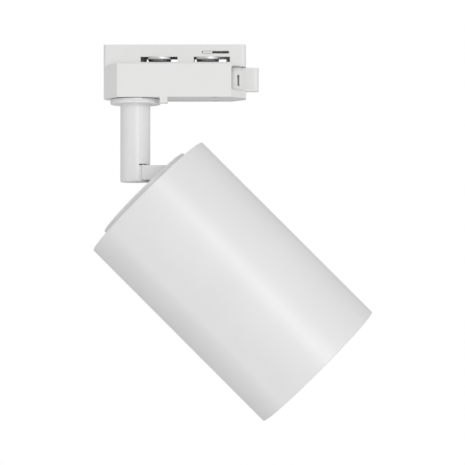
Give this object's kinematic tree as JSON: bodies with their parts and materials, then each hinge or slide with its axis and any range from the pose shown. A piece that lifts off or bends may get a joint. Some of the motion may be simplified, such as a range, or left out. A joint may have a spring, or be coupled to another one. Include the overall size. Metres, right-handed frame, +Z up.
{
  "type": "track spotlight",
  "caption": "Cylinder spotlight that hangs from a lighting track by a lever-locked adapter, turns on its stem and tilts on a knuckle arm.",
  "frame": {"origin": "where the pan axis meets the track seat on top of the adapter body", "axes": "+Z up into the track, +X along the track towards the lock lever, -Y towards the viewer"},
  "size_m": [0.1797, 0.0992, 0.2424],
  "materials": {
    "white_plastic": "satin moulded",
    "white_paint": "fine matt powder coat",
    "plated_metal": "nickel plated",
    "copper": "rolled strip",
    "steel": "zinc plated",
    "aluminium": "machined",
    "dark_plastic": "moulded",
    "cream_plastic": "moulded",
    "cable_jacket": "flexible",
    "led_ceramic": "phosphor on ceramic",
    "mirror_coat": "metallised",
    "clear_glass": "clear",
    "black_rubber": "moulded"
  },
  "bodies": {
    "adapter": {"adapter_housing": "white_plastic", "adapter_base": "white_plastic", "base_screws": "steel", "lever_pin": "steel", "ground_contact": "plated_metal", "left_contact_spring": "copper", "right_contact_spring": "copper", "terminal_block": "cream_plastic", "terminal_screws": "copper", "supply_lead": "cable_jacket"},
    "lever": {"lock_lever": "white_plastic"},
    "link": {"link_bar": "steel"},
    "left_cam": {"left_rotor": "white_plastic", "left_wing": "plated_metal", "left_rotor_cap": "white_plastic"},
    "right_cam": {"right_rotor": "white_plastic", "right_wing": "plated_metal", "right_rotor_cap": "white_plastic"},
    "stem": {"stem_flange": "white_paint", "stem_tube": "white_paint", "stem_nipple": "steel", "pan_washer": "steel", "spring_washer": "steel", "pan_nut": "steel", "knuckle_arm": "white_paint", "arm_screw": "steel", "stem_lead": "cable_jacket", "pivot_screws": "steel", "friction_washers": "dark_plastic"},
    "head": {"head_tube": "white_paint", "rear_hub": "white_paint", "hub_screws": "steel", "cable_grommet": "black_rubber", "driver_case": "cream_plastic", "driver_bracket": "steel", "bracket_spacers": "steel", "driver_screws": "steel", "heat_sink": "aluminium", "sink_screws": "steel", "led_cob": "led_ceramic", "cob_holder": "dark_plastic", "holder_screws": "steel", "reflector": "mirror_coat", "front_glass": "clear_glass", "glass_gasket": "black_rubber", "front_ring": "white_paint", "head_lead": "cable_jacket", "led_lead": "cable_jacket"}
  },
  "joints": [
    {"name": "pan", "type": "hinge", "parent": "adapter", "child": "stem", "pos_m": [0, 0, 0], "axis": [0, 0, 1], "range_deg": [-165, 165]},
    {"name": "tilt", "type": "hinge", "parent": "stem", "child": "head", "pos_m": [0.02377, 0, -0.0692], "axis": [0, 1, 0], "range_deg": [-45, 45]},
    {"name": "lever_turn", "type": "hinge", "parent": "adapter", "child": "lever", "pos_m": [0.0635, 0, 0], "axis": [0, 0, 1], "range_deg": [-75, 0]},
    {"name": "link_turn", "type": "hinge", "parent": "lever", "child": "link", "pos_m": [0.06076, 0.00357, 0], "axis": [0, 0, 1], "range_deg": [0, 75]},
    {"name": "left_cam_turn", "type": "hinge", "parent": "adapter", "child": "left_cam", "pos_m": [0.0158, 0, 0], "axis": [0, 0, 1], "range_deg": [-75, 0]},
    {"name": "right_cam_turn", "type": "hinge", "parent": "adapter", "child": "right_cam", "pos_m": [0.047, 0, 0], "axis": [0, 0, 1], "range_deg": [-75, 0]}
  ],
  "couplings": [
    {"joint": "link_turn", "follows": "lever_turn", "ratio": -1},
    {"joint": "left_cam_turn", "follows": "lever_turn", "ratio": 1},
    {"joint": "right_cam_turn", "follows": "lever_turn", "ratio": 1}
  ]
}
